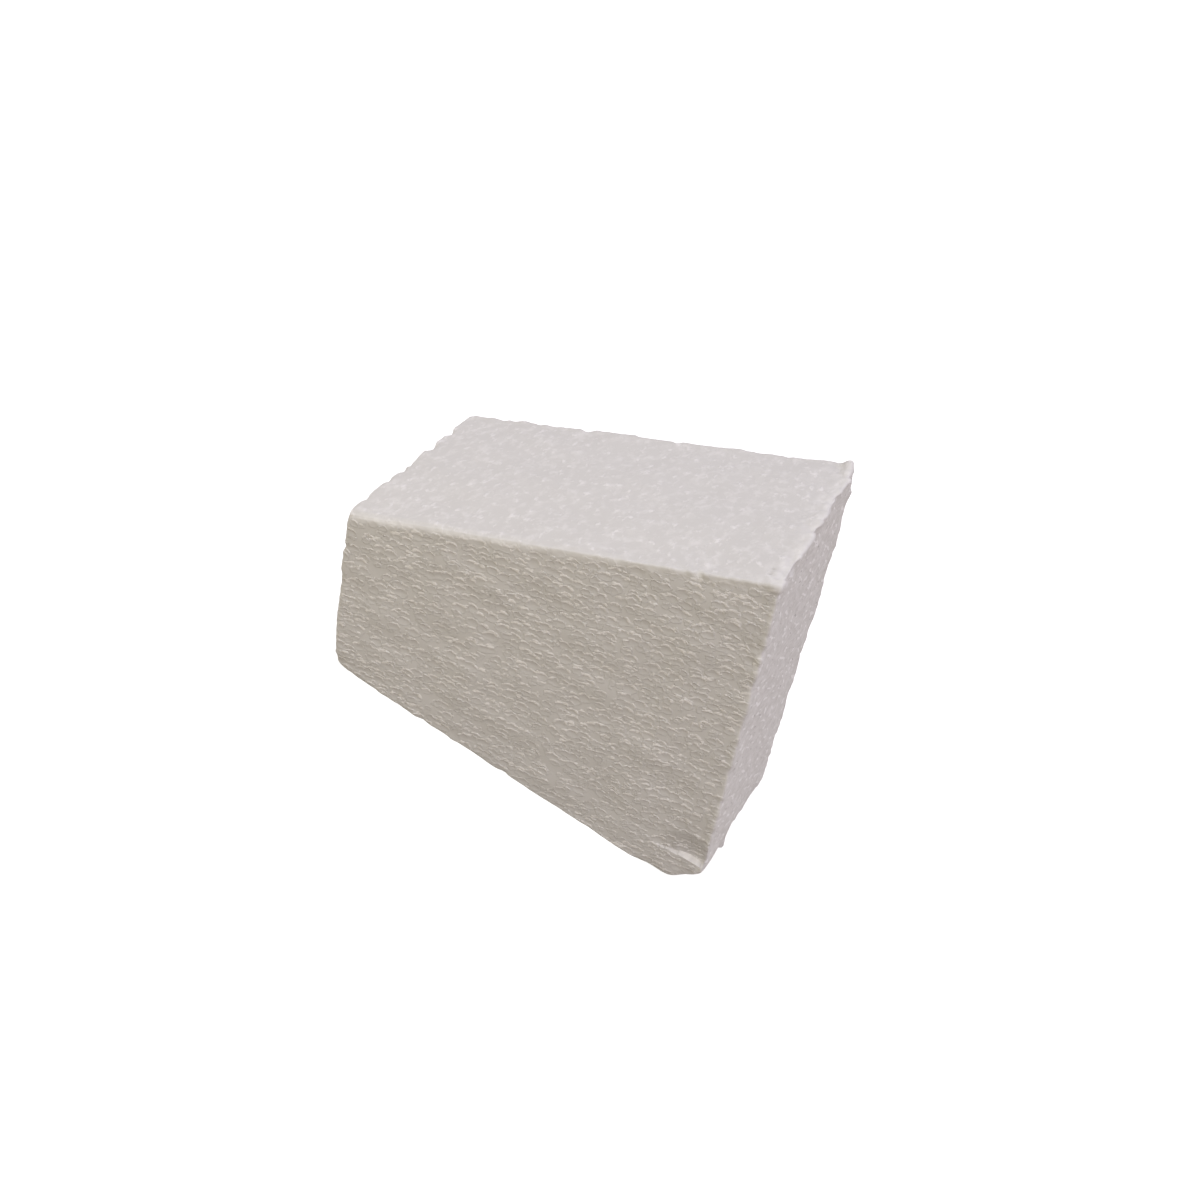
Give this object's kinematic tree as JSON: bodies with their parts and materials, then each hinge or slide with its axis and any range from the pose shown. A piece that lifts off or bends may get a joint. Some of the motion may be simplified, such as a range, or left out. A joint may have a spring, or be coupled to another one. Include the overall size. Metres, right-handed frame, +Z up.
{
  "type": "foam block",
  "caption": "Offcut of beaded white foam with a sloping top and worn edges, used as a light support, wedge or pin block on a bench.",
  "frame": {"origin": "centre of the bounding box in X and Y, on the surface that the base cut rests on", "axes": "+X along the base cut towards the tall end, +Y from the front sheet face to the back one, +Z up"},
  "size_m": [0.1052, 0.053, 0.0862],
  "materials": {
    "bead_foam": "matte white bead foam, knife cut"
  },
  "bodies": {
    "root": {"foam_block": "bead_foam"}
  },
  "joints": []
}
